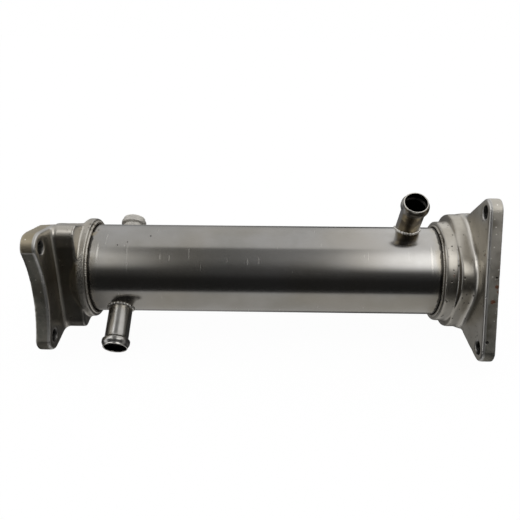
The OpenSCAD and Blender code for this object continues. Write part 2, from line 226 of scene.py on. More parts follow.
class Value:
    """What one socket gives out. Maths on it adds Math nodes to its tree."""

    def __init__(self, sheet, socket):
        self.sheet, self.socket = sheet, socket

    def maths(self, operation, *others):
        terms = dict(enumerate((self, *others)))
        return self.sheet.node("ShaderNodeMath", terms, operation=operation)

    __add__ = __radd__ = partialmethod(maths, "ADD")
    __mul__ = __rmul__ = partialmethod(maths, "MULTIPLY")
    __sub__ = partialmethod(maths, "SUBTRACT")
    __truediv__ = partialmethod(maths, "DIVIDE")
    __abs__ = partialmethod(maths, "ABSOLUTE")
    most = partialmethod(maths, "MAXIMUM")
    least = partialmethod(maths, "MINIMUM")
    sine = partialmethod(maths, "SINE")
    angle = partialmethod(maths, "ARCTAN2")

    def __rsub__(self, other):
        return self.sheet.node("ShaderNodeMath", {0: other, 1: self}, operation="SUBTRACT")

    def rise(self, low, high, unit=1):
        """0 below low, 1 above high, smooth between them. low may be above high."""
        if low > high:
            return 1 - self.rise(high, low, unit)
        inputs = {0: self, 1: low * unit, 2: high * unit}
        return self.sheet.node("ShaderNodeMapRange", inputs, interpolation_type="SMOOTHSTEP")

    def span(self, start, low, high, end, unit=1):
        """1 from low to high, falling smoothly to 0 at start and at end."""
        return self.rise(start, low, unit) * self.rise(end, high, unit)

    def also(self, output):
        return Value(self.sheet, self.socket.node.outputs[output])


def any_of(masks):
    """The strongest of some masks."""
    return reduce(Value.most, masks)


class Sheet:
    """A node tree, and the one call that adds a node to it."""

    def __init__(self, tree):
        self.tree = tree

    def node(self, kind, inputs=None, output=0, **settings):
        made = self.tree.nodes.new(kind)
        for key, setting in settings.items():
            setattr(made, key, setting)
        for key, value in (inputs or {}).items():
            if isinstance(value, Value):
                self.tree.links.new(value.socket, made.inputs[key])
            else:
                made.inputs[key].default_value = value
        return Value(self, made.outputs[output]) if made.outputs else made

    def vectors(self, operation, inputs, output="Vector"):
        return self.node("ShaderNodeVectorMath", inputs, output, operation=operation)


class Finish(Sheet):
    """A material on Object coordinates, which are the part's own frame in metres."""

    def __init__(self, name):
        self.material = bpy.data.materials.new(name)
        self.material.use_nodes = True
        super().__init__(self.material.node_tree)
        self.tree.nodes.clear()
        self.at = self.node("ShaderNodeTexCoord", output="Object")
        self.x = self.node("ShaderNodeSeparateXYZ", {0: self.at})
        self.y, self.z = self.x.also("Y"), self.x.also("Z")

    def stretched(self, scale):
        return self.node("ShaderNodeMapping", {"Vector": self.at, "Scale": scale})

    def cloud(self, scale, detail=3.0, rough=0.55, vector=None):
        inputs = {"Vector": vector or self.at, "Scale": scale, "Detail": detail, "Roughness": rough}
        return self.node("ShaderNodeTexNoise", inputs, "Fac")

    def spots(self, scale, spread):
        """1 in the middle of scattered spots, 0 outside them. spread is their share of a cell."""
        inputs = {"Vector": self.at, "Scale": scale}
        return self.node("ShaderNodeTexVoronoi", inputs, "Distance").rise(spread, spread * 0.4)

    def marks(self, places, fray=0.5):
        """1 at any of some places, given in mm with a radius, and 0 outside their ragged edges."""
        ragged = (self.cloud(1100, 2) - 0.5) * fray
        found = []
        for *place, radius in places:
            away = self.vectors("DISTANCE", {0: self.at, 1: [c * MM for c in place]}, "Value")
            found.append((away / (radius * MM) + ragged).rise(1.0, 0.5))
        return any_of(found)

    def off_axis(self, y=0.0, z=0.0):
        """Distance from a line along X at that Y and Z, or else from the gas axis."""
        flat = self.node("ShaderNodeCombineXYZ", {"Y": self.y - y, "Z": self.z - z})
        return self.vectors("LENGTH", {0: flat}, "Value")

    def blend(self, share, a, b):
        a, b = (c if isinstance(c, Value) else (*c, 1) for c in (a, b))
        return self.node("ShaderNodeMix", {0: share, 6: a, 7: b}, 2, data_type="RGBA")

    def layers(self, base, *layers):
        """Lays colours over a base, each by its share."""
        for share, colour in layers:
            base = self.blend(share, base, colour)
        return base

    def bump(self, height, depth, strength=1.0, normal=None):
        inputs = {"Height": height, "Distance": depth, "Strength": strength}
        if normal:
            inputs["Normal"] = normal
        return self.node("ShaderNodeBump", inputs, "Normal")

    def bend(self):
        """Above a half on outer edges, below it in hollows."""
        return self.node("ShaderNodeNewGeometry", output="Pointiness")

    def metal(self, base, rough, normal):
        inputs = {"Base Color": base, "Roughness": rough, "Normal": normal, "Metallic": 1.0}
        self.show(self.node("ShaderNodeBsdfPrincipled", inputs))
        return self.material

    def show(self, shader):
        self.node("ShaderNodeOutputMaterial", {"Surface": shader})


def shell_rings(f):
    """Faint rings rubbed round the shell's near side."""
    rings = any_of([abs(f.x - x * MM).rise(wide, 0.3 * wide, MM) for x, wide in SHELL_RINGS])
    return rings * f.cloud(90, 2).rise(0.34, 0.5) * f.z.span(8, 15, 22, 28, MM)


def shell_ticks(f):
    """Short scratches round the shell: scattered ones, and those that show on the near side."""
    ticks = [f.cloud(1, 2, 0.5, f.stretched((1000, 62, 62))).rise(0.72, 0.79)]
    near = f.y.rise(0, -10, MM)
    for x, z in SHELL_TICKS:
        wide = abs(f.x - x * MM).rise(0.35, 0.1, MM)
        ticks.append(wide * abs(f.z - z * MM).rise(2.6, 0.8, MM) * near)
    return any_of(ticks)


def polished_tube(look):
    """The shell: polished tube with tint beside the seams, painted shade along the seams' toes,
    pits and handling marks.
    """
    f = Finish("polished_tube")
    unrolled = f.node("ShaderNodeCombineXYZ", {"X": f.x * 6, "Y": f.y.angle(f.z) * 14})
    around = f.cloud(1, 3, 0.6, f.stretched((2600, 24, 24)))
    along = f.cloud(1, 3, 0.5, unrolled)
    stain = f.cloud(24, 4, 0.6)
    rings, ticks = shell_rings(f), shell_ticks(f)
    pits = f.marks(SHELL_PITS).most(f.spots(70, 0.03))
    from_seam = (f.x - INLET.rim).least(OUTLET.rim - f.x)
    tint = from_seam.rise(9, 2, MM) * f.cloud(70, 3).rise(0.3, 0.75)
    stop = f.marks(SEAM_STOP, SEAM_FRAY)
    # Painted shade: a dark line along each seam's toe on the shell, broken where the seam stops.
    seam_shade = from_seam + (f.cloud(260, 2) - 0.5) * (2.4 * MM)
    seam_shade = seam_shade.rise(3.0, 2.2, MM) * (1 - stop)

    base = f.layers(
        look.tube_bright,
        (stain.rise(0.35, 0.7), look.tube_dull),
        (f.cloud(15, 2).rise(0.45, 0.75) * 0.22, look.straw),
        # The shell's lower half is tinted straw below the axis.
        (f.z.rise(-2, -8, MM) * 0.2, look.straw),
        (f.marks(SEAM_START, SEAM_FRAY) * 0.85, look.brown_tint_and_shade),
        (tint * 0.5, look.straw),
        (stop * 0.5, look.straw),
        (seam_shade * 0.85, look.scale),
        (rings.most(ticks * 0.6) * 0.7, look.scuffed_and_highlight),
        (pits * 0.9, look.scale),
    )
    rough = 0.15 + 0.04 * stain + 0.03 * along + 0.15 * tint
    rough = rough + 0.12 * rings + 0.14 * ticks + 0.3 * pits
    height = around * 0.5 + along * 0.5 + ticks - pits * 4
    return f.metal(base, rough, f.bump(height, 0.005 * MM, 0.7))


class CastFinish(Finish):
    """A casting's finish, with the masks that several of its layers share."""

    def __init__(self, end):
        super().__init__("cast_steel_" + end.name)
        self.end = end
        facing = self.node("ShaderNodeNewGeometry", output="Normal")
        self.along = abs(self.node("ShaderNodeSeparateXYZ", {0: facing}))
        self.side = self.along.rise(0.5, 0.2)
        self.depth = abs(self.x - end.face)
        self.from_rim = abs(self.x - end.rim)
        self.cut = self.depth.rise(0.35, 0.15, MM)
        self.sawn = self.side * self.depth.rise(SAWN_DEPTH + 0.8 * MM, SAWN_DEPTH - 0.8 * MM)

    def land(self):
        """The round land of the collar, beside its rim."""
        return self.from_rim.rise(7.5, 6.0, MM) * self.side

    def bolt_holes(self):
        """The walls of the bolt holes."""
        cosine, sine = math.cos(self.end.turn), math.sin(self.end.turn)
        found = []
        for y, z in self.end.holes:
            away = self.off_axis((y * cosine + z * sine) * MM, (z * cosine - y * sine) * MM)
            found.append(away.rise(BOLT_R + 0.7 * MM, BOLT_R + 0.2 * MM))
        return any_of(found)

    def pits(self):
        """Pits and pocks of the cast skin, few on the rough edges and none on the machined face."""
        pocks = self.spots(560, 0.18) * self.cloud(110, 2).rise(0.56, 0.62)
        pits = self.spots(290, 0.22) * self.cloud(60, 2).rise(0.43, 0.50)
        pits = pits * self.end.pitted * (1 - self.sawn * 0.9)
        return any_of([pits, pocks * 0.8, self.marks(CAST_PITS)]) * (1 - self.cut)


def rough_edges(f, look):
    """The flanges' rough edges, dull and stained. The outlet's grow lighter towards the top."""
    ragged = f.sawn * (0.3 + 0.6 * f.cloud(230, 4, 0.7).rise(0.4, 0.65))
    if f.end is OUTLET:
        ragged = ragged * (1 - 0.95 * f.z.rise(0, 38, MM))
    stained = f.sawn * f.cloud(38, 3).rise(0.48, 0.66) * f.end.stained
    return (ragged, look.sawn), (stained, look.brown_tint_and_shade)


def inlet_marks_and_shade(f, look):
    """Painted shade on the block's near face, pale speckle over the land's middle band, the seam's
    start and the pale upper lobe.
    """
    # Painted shade: the block's near face darkened with the scale colour.
    block_shade = f.y.rise(-27, -30, MM) * f.depth.rise(11, 13, MM) * f.z.rise(31, 27, MM)
    # A pale speckle over a middle band of the collar's land.
    pale_speckle = f.z.span(-6, 2, 22, 30, MM) * f.cloud(1500, 3, 0.7).rise(0.4, 0.62)
    return (
        (block_shade * 0.5, look.scale),
        (f.land() * pale_speckle * 0.8, look.scuffed_and_highlight),
        (f.marks(SEAM_START, SEAM_FRAY) * 0.75, look.brown_tint_and_shade),
        (f.sawn * f.z.rise(LOBE_CREASE, LOBE_CREASE + 0.4 * MM) * 0.6, look.straw),
    )


def outlet_shoulder_shade(f, look):
    """Painted shade: a brown line along the body's shoulder face."""
    step = abs(f.depth - SHOULDER).rise(1.4, 0.8, MM) * f.along.rise(0.35, 0.7)
    return ((step * 0.55, look.brown_tint_and_shade),)


def highlights_and_flecks(f, look, glints):
    """Painted highlights on edges, glints, the flange's inner lip, the fillets and the inlet's
    crease, and flecks rubbed bright on the rough edges.
    """
    bend, flange = f.bend(), f.end.flange
    # Painted highlights along outer edges and hollow edges, glints, and the flange's inner lip.
    edge = bend.rise(0.515, 0.56).most(bend.rise(0.485, 0.45))
    lip = f.depth.span(flange - 2.6 * MM, flange - 1.8 * MM, flange, flange + 0.5 * MM)
    bright = any_of([edge, glints, lip * f.along.rise(0.98, 0.85)])
    flecks = f.sawn * f.spots(260, 0.17) * f.cloud(60, 2).rise(0.34, 0.48)
    if f.end is INLET:
        # Painted highlight along the crease on the inlet's upper lobe.
        crease_highlight = f.sawn * abs(f.z - LOBE_CREASE).rise(0.7, 0.3, MM)
        flecks = (flecks * 0.8).most(crease_highlight)
    # Painted highlight on the fillets at the roots of the body and the block.
    fillet = f.node("ShaderNodeAttribute", output="Fac", attribute_name="fillet")
    return (bright * 0.8, look.machined_and_highlight), (flecks.most(fillet * f.end.fillet), look.scuffed_and_highlight)


def cast_steel(look, end):
    """A blasted casting: grain, pits, rust and a machined face, with painted highlights on edges,
    glints, lip and fillets, and painted shade at the rim, in the bolt holes, on the inlet's block
    and along the outlet's shoulder.
    """
    f = CastFinish(end)
    stain = f.cloud(42, 5, 0.6)
    fine = f.cloud(900, 3, 0.6)
    glints = f.spots(420, 0.12) * f.cloud(85, 2).rise(0.58, 0.66)
    pits = f.pits()
    rust = f.marks(CAST_RUST, 1.1).most(f.spots(45, 0.07) * fine.rise(0.4, 0.6))
    # Painted shade: a dark line at the casting's rim, in the gap beside the seam.
    root = f.off_axis().rise(SHELL_R + 3.4 * MM, SHELL_R + 2.2 * MM)
    root = f.from_rim.rise(0.9, 0.3, MM) * root * end.root

    base = f.layers(
        look.cast_bright,
        (stain.rise(0.32, 0.72), look.cast_dull),
        (f.cloud(16, 2, 0.5).rise(0.5, 0.8) * 0.5, look.straw),
        *rough_edges(f, look),
        *(inlet_marks_and_shade if end is INLET else outlet_shoulder_shade)(f, look),
        *highlights_and_flecks(f, look, glints),
        # Scale in the pits; painted shade at the rim.
        (pits.most(root) * 0.9, look.scale),
        # Painted shade: the bolt holes' walls made nearly black.
        (f.bolt_holes() * 0.85, look.scale),
        (rust * 0.85, look.rust),
        (f.cut, look.machined_and_highlight),
    )
    rough = 0.26 + 0.07 * stain + 0.04 * fine + 0.25 * pits.most(rust) + 0.16 * f.sawn
    turning = (f.off_axis() * 9000).sine()
    grain = f.cloud(1500, 3, 0.6) * 0.5 + f.cloud(480, 2, 0.5) * 0.4 + glints
    normal = f.bump(grain * (1 - f.cut) + turning * f.cut * 0.15, 0.015 * MM, 0.4)
    if end is INLET:
        land = f.land()
        rough = rough + 0.08 * land
        normal = f.bump(f.cloud(620, 2) * land, 0.25 * MM, 0.8, normal)
    rough = rough + f.cut * (0.3 - rough)
    return f.metal(base, rough, f.bump(1 - pits, 0.3 * MM, 0.8, normal))


def stub_tube(look, name, line):
    """A coolant stub's tube. Its brown heat tint leaves the bead barer. Its left flank carries a
    painted sheen: blue-grey and less brown.
    """
    f = Finish(name + "_stub_tube")
    heat, dull = STUBS[name].heat, STUBS[name].dull
    lift = f.vectors("DOT_PRODUCT", {0: f.at, 1: line.axis}, "Value")
    from_mouth = line.mouth - lift
    stain = f.cloud(120, 4, 0.6)
    rows = f.node("ShaderNodeCombineXYZ", {"X": lift * 2200, "Y": f.x * 20})
    around = f.cloud(1, 3, 0.6, rows)
    # Painted sheen on the stub's left flank: blue-grey and less brown.
    flank = (f.x - line.start.x).rise(-0.99 * line.radius, -0.86 * line.radius)
    bead = from_mouth.rise(7.5, 4, MM)
    tint = (0.66 + stain * 0.66 - bead * 0.2).rise(0.3, 0.95) * heat * (0.35 + flank * 0.65)

    base = f.layers(
        look.tube_bright,
        (stain.rise(0.3, 0.7), look.tube_dull),
        (dull * 1.5, look.scuffed_and_highlight),
        (tint, look.brown_tint_and_shade),
        (f.cloud(110, 3).rise(0.52, 0.68) * heat * 0.55, look.straw),
        ((1 - flank) * heat * 0.5, look.blue),
        (lift.rise(38, 32, MM) * 0.3, look.straw),
        (from_mouth.rise(0.9, 0.4, MM) * 0.7, look.scuffed_and_highlight),
        (f.spots(260, 0.08) * 0.7, look.scale),
    )
    rough = 0.17 + 0.08 * stain + 0.05 * around + 0.08 * heat + dull
    return f.metal(base, rough, f.bump(around + stain * 0.5, 0.008 * MM, 0.6))


def bore_scale(look):
    """Painted shade: the inside of a stub, painted nearly black."""
    f = Finish("bore_scale")
    stain = f.cloud(300, 4, 0.6)
    base = f.blend(stain.rise(0.3, 0.7), look.scale, look.bore)
    return f.metal(base, 0.28 + 0.2 * stain, f.bump(stain, 0.03 * MM, 0.5))


def weld_metal(look, name, bright):
    """Weld and braze metal: bright crowns over brown roots, partly heat tint and partly painted
    shade in the hollows, with straw tint and dark specks.
    """
    f = Finish(name + "_metal")
    stain = f.cloud(180, 4, 0.6)
    fine = f.cloud(1000, 3, 0.6)
    # The bead's hollows: partly heat tint, partly painted shade.
    root = 1 - f.bend().rise(0.47, 0.55)
    base = f.layers(
        bright,
        (stain.rise(0.45, 0.75) * 0.4, look.straw),
        (root.most(f.marks(SEAM_START, SEAM_FRAY)) * 0.6, look.brown_tint_and_shade),
        (f.cloud(420, 2).rise(0.62, 0.70) * 0.85, look.scale),
    )
    return f.metal(base, 0.18 + 0.16 * stain + 0.08 * fine, f.bump(fine, 0.10 * MM, 0.8))


def core_steel(look):
    """The tube bundle: brazed, tinted and a little sooty."""
    f = Finish("core_steel")
    stain = f.cloud(60, 4, 0.6)
    soot = f.cloud(140, 3, 0.6).rise(0.5, 0.75)
    fine = f.cloud(1, 3, 0.6, f.stretched((300, 2500, 2500)))
    base = f.layers(look.core, (stain.rise(0.3, 0.7), look.straw), (soot * 0.7, look.scale))
    return f.metal(base, 0.34 + 0.2 * stain + 0.15 * soot, f.bump(fine, 0.02 * MM, 0.5))


def settings():
    return bpy.context.scene.cooler_sizes, bpy.context.scene.cooler_finish


def linked(name, data):
    """Puts a mesh or a camera into the scene as an object."""
    made = bpy.data.objects.new(name, data)
    bpy.context.scene.collection.objects.link(made)
    return made


def take_place(piece, slot, *replaces):
    """Makes an object a piece of the cooler, in place of the nodes that it replaces."""
    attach(piece, BODY)
    if replaces:
        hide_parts(*replaces)


def plain(obj):
    """Turns what an object's modifiers make into its own mesh."""
    view = bpy.context.evaluated_depsgraph_get()
    mesh = bpy.data.meshes.new_from_object(obj.evaluated_get(view), depsgraph=view)
    old = obj.data
    obj.modifiers.clear()
    obj.data = mesh
    bpy.data.meshes.remove(old)
    mesh.name = obj.name
    return mesh


def mesh_of(name, points, faces=(), edges=()):
    mesh = bpy.data.meshes.new(name)
    mesh.from_pydata(points, edges, faces)
    return mesh


def repaint(node, material):
    for slot in frame["nodes"][node].material_slots:
        slot.material = material


def round_turns(count):
    """Even turns right round, in radians."""
    return [2 * math.pi * i / count for i in range(count)]


def points_of(mesh):
    found = np.empty(len(mesh.vertices) * 3)
    mesh.vertices.foreach_get("co", found)
    return found.reshape(-1, 3)


def set_points(mesh, points):
    mesh.vertices.foreach_set("co", points.ravel())
    mesh.update()


def set_reach(mesh, points, radius, moved):
    """Moves points straight to or from the gas axis, from one radius to another."""
    points[:, 1:] *= (moved / np.maximum(radius, MM))[:, None]
    set_points(mesh, points)


def rounded(mesh, times, where=None):
    """Rounds edges by moving each point, or those chosen, towards the mean of its neighbours."""
    points = points_of(mesh)
    pull = 0.5 if where is None else 0.5 * where(points)[:, None]
    ends = np.empty(len(mesh.edges) * 2, int)
    mesh.edges.foreach_get("vertices", ends)
    a, b = ends[0::2], ends[1::2]
    count = np.bincount(ends, minlength=len(points))[:, None]
    for _ in range(times):
        total = np.empty_like(points)
        for axis in range(3):
            total[:, axis] = np.bincount(a, points[b, axis], len(points))
            total[:, axis] += np.bincount(b, points[a, axis], len(points))
        points += pull * (total / count - points)
    set_points(mesh, points)


def waved(mesh, height, step):
    """Moves each point along its normal by smooth noise."""
    points = points_of(mesh)
    normals = np.empty(len(mesh.vertices) * 3)
    mesh.vertex_normals.foreach_get("vector", normals)
    lift = np.array([noise.noise(Vector(p / step)) for p in points])
    points += normals.reshape(-1, 3) * lift[:, None] * height
    set_points(mesh, points)


def ramp(value, start, end, unit=1):
    """0 at start, 1 at end, straight between them. start may be above end."""
    return np.clip((value - start * unit) / (end * unit - start * unit), 0, 1)


def wrapped(turns):
    """Turns brought within half a round either way."""
    return np.angle(np.exp(1j * turns))


def outlet_polar(points):
    """Depth behind the outlet's face, distance from the gas axis, and turn from the near corner."""
    x, y, z = points.T
    return OUTLET.face - x, np.hypot(y, z), wrapped(np.arctan2(z, -y) - OUTLET.turn)


def above_flange(points):
    """Height over the inner side of the nearer flange."""
    x = points[:, 0]
    return np.where(x < MIDDLE, x - INLET.flange, OUTLET.face - x - OUTLET.flange)


def body_outline(turns, flat):
    """Reach of the outlet body round the gas axis: three round corners between flats."""
    least_cosine = 0.3  # a flat that faces further away is never the nearest
    cosines = [np.maximum(np.cos(turns - turn), least_cosine) for turn in BODY_FLATS]
    reach = flat / np.max(cosines, axis=0)
    for turn, half in BODY_CORNERS:
        place = (BODY_REACH - flat) / (1 - math.cos(half))
        curve = flat - place * math.cos(half)
        end = math.atan2(curve * math.sin(half), place + curve * math.cos(half))
        a = wrapped(turns - turn)
        arc = place * np.cos(a) + np.sqrt(np.maximum(curve**2 - (place * np.sin(a)) ** 2, 0))
        reach = np.where(np.abs(a) <= end, arc, reach)
    return reach


def sunk_flats(mesh, flat):
    """Sinks the outlet body's flats until they run onto the collar, as the photograph's do."""
    points = points_of(mesh)
    depth, radius, turns = outlet_polar(points)
    solid = body_outline(turns, BODY_FLAT)
    near_skin = ramp(radius, COLLAR_R, solid) * ramp(radius - solid, 9, 3, MM)
    past_flange = ramp(depth, OUTLET.flange - 0.6 * MM, OUTLET.flange)
    moved = radius + (body_outline(turns, flat) - solid) * near_skin * past_flange
    collar = depth > SHOULDER + 0.3 * MM
    set_reach(mesh, points, radius, np.where(collar, np.minimum(moved, COLLAR_R), moved))


def crisp_rims(mesh):
    """Draws the collars' round rims out to a crisper edge, as the photograph's are."""
    share = 0.65
    points = points_of(mesh)
    radius = np.hypot(points[:, 1], points[:, 2])
    from_rim = np.minimum(np.abs(points[:, 0] - INLET.rim), np.abs(points[:, 0] - OUTLET.rim))
    chosen = ramp(from_rim, 2, 1, MM) * ramp(radius, COLLAR_R - 3 * MM, COLLAR_R - 2 * MM)
    set_reach(mesh, points, radius, radius + np.maximum(COLLAR_R - radius, 0) * chosen * share)


def root_fillets(points, flat):
    """Marks the hollow where the outlet's body and the inlet's block stand on their flanges."""
    # This mask is where the painted fillet highlight goes.
    x, y, _ = points.T
    _, radius, turns = outlet_polar(points)
    block = np.where(y < 0, -y - BLOCK_REACH, 1)
    out = np.where(x < MIDDLE, block, radius - body_outline(turns, flat))
    height = above_flange(points)
    near = ramp(out, -0.4, 0, MM) * ramp(out, 2.0, 1.5, MM)
    return near * ramp(height, 0, 0.3, MM) * ramp(height, 2.2, 1.7, MM)


def flange_edges(points):
    """Chooses the inner edges of both flanges, and the roots of what stands on them."""
    height = above_flange(points)
    return ramp(height, -2.2, -1.2, MM) * ramp(height, 3, 2, MM)


def far_shoulder(points):
    """Chooses the shoulder of the outlet's body away from its near corner."""
    depth, radius, turns = outlet_polar(points)
    outer = radius > COLLAR_R - 1.65 * MM
    from_step = np.abs(depth - SHOULDER - 0.2 * MM)
    return outer * ramp(np.abs(turns), 1.0, 1.25) * ramp(from_step, 4, 3, MM)


def off_near_edge(points):
    """Leaves out the crisp edge of the shoulder at the outlet body's near corner."""
    depth, radius, turns = outlet_polar(points)
    edge = (np.abs(turns) < 0.9) & (np.abs(depth - SHOULDER) < 1.6 * MM)
    return 1.0 - (edge & (radius > COLLAR_R - MM))


def cast_skin(end, material, sizes):
    """A copy of a casting's solid with the soft edges and waves of a cast skin."""
    node, name = end.name + "_casting", end.name + "_cast_skin"
    mesh = bpy.data.meshes.new(name)
    solid = bmesh.new()
    solid.from_mesh(frame["nodes"][node].data)
    bmesh.ops.remove_doubles(solid, verts=solid.verts, dist=0.002 * MM)
    solid.to_mesh(mesh)
    solid.free()
    piece = linked(name, mesh)
    skin = piece.modifiers.new("skin", "REMESH")
    skin.mode, skin.voxel_size, skin.use_smooth_shade = "VOXEL", sizes.cast_grain, True
    mesh = plain(piece)
    crisp_rims(mesh)
    if end is OUTLET:
        sunk_flats(mesh, sizes.body_flat)
        rounded(mesh, sizes.far_passes, far_shoulder)
    rounded(mesh, sizes.edge_passes, flange_edges)
    rounded(mesh, 1)
    rounded(mesh, sizes.cast_passes, off_near_edge)
    waved(mesh, sizes.cast_wave, sizes.wave_step)
    # The attribute carries where the painted fillet highlight goes.
    fillet = mesh.attributes.new("fillet", "FLOAT", "POINT")
    fillet.data.foreach_set("value", root_fillets(points_of(mesh), sizes.body_flat))
    mesh.materials.clear()
    mesh.materials.append(material)
    mesh.shade_smooth()
    take_place(piece, "cast_steel", node)


class StubLine:
    """A coolant stub's axis and sizes, from its mount in the record."""

    def __init__(self, name, sizes):
        mount = MOUNTS[name + "_hose_bead"]
        place, self.axis = Vector(mount["pos_m"]), Vector(mount["axis"]).normalized()
        self.radius = mount["dims"]["r_mm"] * MM - sizes.bead_height
        crest = place.dot(self.axis)
        self.mouth = crest + sizes.bead_length - sizes.bead_rise - sizes.bead_crest / 2
        self.start = place - self.axis * crest
        self.across = Vector((1, 0, 0))
        self.up = self.axis.cross(self.across)

    def point(self, turn, radius, reach):
        return self.start + self.rim(turn, radius) + self.axis * reach

    def rim(self, turn, radius):
        return self.across * (radius * math.cos(turn)) + self.up * (radius * math.sin(turn))

    def foot(self, turn, radius, shell_r):
        """How far up the axis a line along the stub leaves a shell of that radius."""
        side = self.start + self.rim(turn, radius)
        return math.sqrt(max(shell_r**2 - side.y**2 - side.z**2, 0))


def ease(t):
    return t * t * (3 - 2 * t)


def stub_outline(line, sizes):
    """Radius and place of the rows of a stub's outside, from the hose bead's foot to its lip."""
    low = line.mouth - sizes.bead_length
    crest = low + sizes.bead_rise
    fall = crest + sizes.bead_crest
    last = line.mouth - sizes.stub_wall / 2
    kept = 0.2  # share of the bead's height that the tube keeps at its mouth
    rows = [(0, low)]
    rows += [(ease(t), low + sizes.bead_rise * t) for t in np.linspace(0.1, 1, 10)]
    rows += [(1, crest + sizes.bead_crest * t) for t in (0.35, 0.7)]
    rows += [(1 - (1 - kept) * ease(t), fall + (last - fall) * t) for t in np.linspace(0, 1, 14)]
    return [(line.radius + sizes.bead_height * share, reach) for share, reach in rows]


def stub_lip(radius, reach, wall):
    """The rows of a round lip that starts at the outside's last row."""
    half = wall / 2
    turns = np.linspace(0, math.pi, 8)[1:-1]
    return [(radius - half * (1 - math.cos(t)), reach + half * math.sin(t)) for t in turns]


def stub_foot(line, radius, top, shares):
    """Points of the rows that climb from the shell's inside to a stub's first straight row."""
    points = []
    for share in shares:
        for turn in round_turns(STUB_TURNS):
            foot = line.foot(turn, radius, SHELL_R - SHELL_WALL)
            points.append(line.point(turn, radius, foot + (top - foot) * share))
    return points


def closed_faces(rows, turns):
    """Faces between rows of points, closed both ways round."""
    faces = []
    for row in range(rows):
        here, above = row * turns, (row + 1) % rows * turns
        for i in range(turns):
            beside = (i + 1) % turns
            faces.append((here + i, here + beside, above + beside, above + i))
    return faces


def turned_stub(name, line, sizes, materials):
    """A stub with a bead rolled out of its wall, a round lip and a foot cut to the shell."""
    outside = stub_outline(line, sizes)
    lip = stub_lip(*outside[-1], sizes.stub_wall)
    inside = [(radius - sizes.stub_wall, reach) for radius, reach in reversed(outside)]
    climb = [row / STUB_FOOT_ROWS for row in range(STUB_FOOT_ROWS)]
    points = stub_foot(line, *outside[0], climb)
    for radius, reach in outside + lip + inside:
        points += [line.point(turn, radius, reach) for turn in round_turns(STUB_TURNS)]
    points += stub_foot(line, *inside[-1], reversed(climb))
    rows = len(points) // STUB_TURNS
    faces = closed_faces(rows, STUB_TURNS)
    mesh = mesh_of(name, points, faces)
    for material in materials:
        mesh.materials.append(material)
    bore_from = STUB_FOOT_ROWS + len(outside) + len(lip)
    bore = [int(bore_from <= i // STUB_TURNS < rows - 1) for i in range(len(faces))]
    mesh.polygons.foreach_set("material_index", bore)
    turned = bmesh.new()
    turned.from_mesh(mesh)
    bmesh.ops.recalc_face_normals(turned, faces=turned.faces)
    turned.to_mesh(mesh)
    turned.free()
    mesh.shade_smooth()
    return mesh


def loop_mesh(name, points):
    """A closed line through points, for a tree to follow."""
    count = len(points)
    return mesh_of(name, points, edges=[(i, (i + 1) % count) for i in range(count)])


class Grower(Sheet):
    """A Geometry Nodes tree with named inputs."""

    def __init__(self, name, inputs):
        super().__init__(bpy.data.node_groups.new(name, "GeometryNodeTree"))
        face = self.tree.interface
        for label, kind in {"Path": "Geometry", **inputs, "Material": "Material"}.items():
            face.new_socket(label, in_out="INPUT", socket_type="NodeSocket" + kind)
        face.new_socket("Result", in_out="OUTPUT", socket_type="NodeSocketGeometry")
        self.given = self.node("NodeGroupInput")

    def take(self, label):
        return self.given.also(label)

    def circle(self, steps, radius):
        inputs = {"Resolution": steps, "Radius": self.take(radius)}
        return self.node("GeometryNodeCurvePrimitiveCircle", inputs)

    def random(self, low, high, seed, kind="FLOAT"):
        low_at, high_at, out = {"FLOAT": (2, 3, 1), "FLOAT_VECTOR": (0, 1, 0)}[kind]
        inputs = {low_at: low, high_at: high, "Seed": seed}
        return self.node("FunctionNodeRandomValue", inputs, out, data_type=kind)

    def join(self, *parts):
        joined = self.node("GeometryNodeJoinGeometry")
        for part in parts:
            self.tree.links.new(part.socket, joined.socket.node.inputs[0])
        return joined

    def finish(self, shape):
        shape = self.node("GeometryNodeRealizeInstances", {0: shape})
        shape = self.node("GeometryNodeSetShadeSmooth", {0: shape})
        painted = {0: shape, "Material": self.take("Material")}
        self.node("NodeGroupOutput", {0: self.node("GeometryNodeSetMaterial", painted)})
        return self.tree


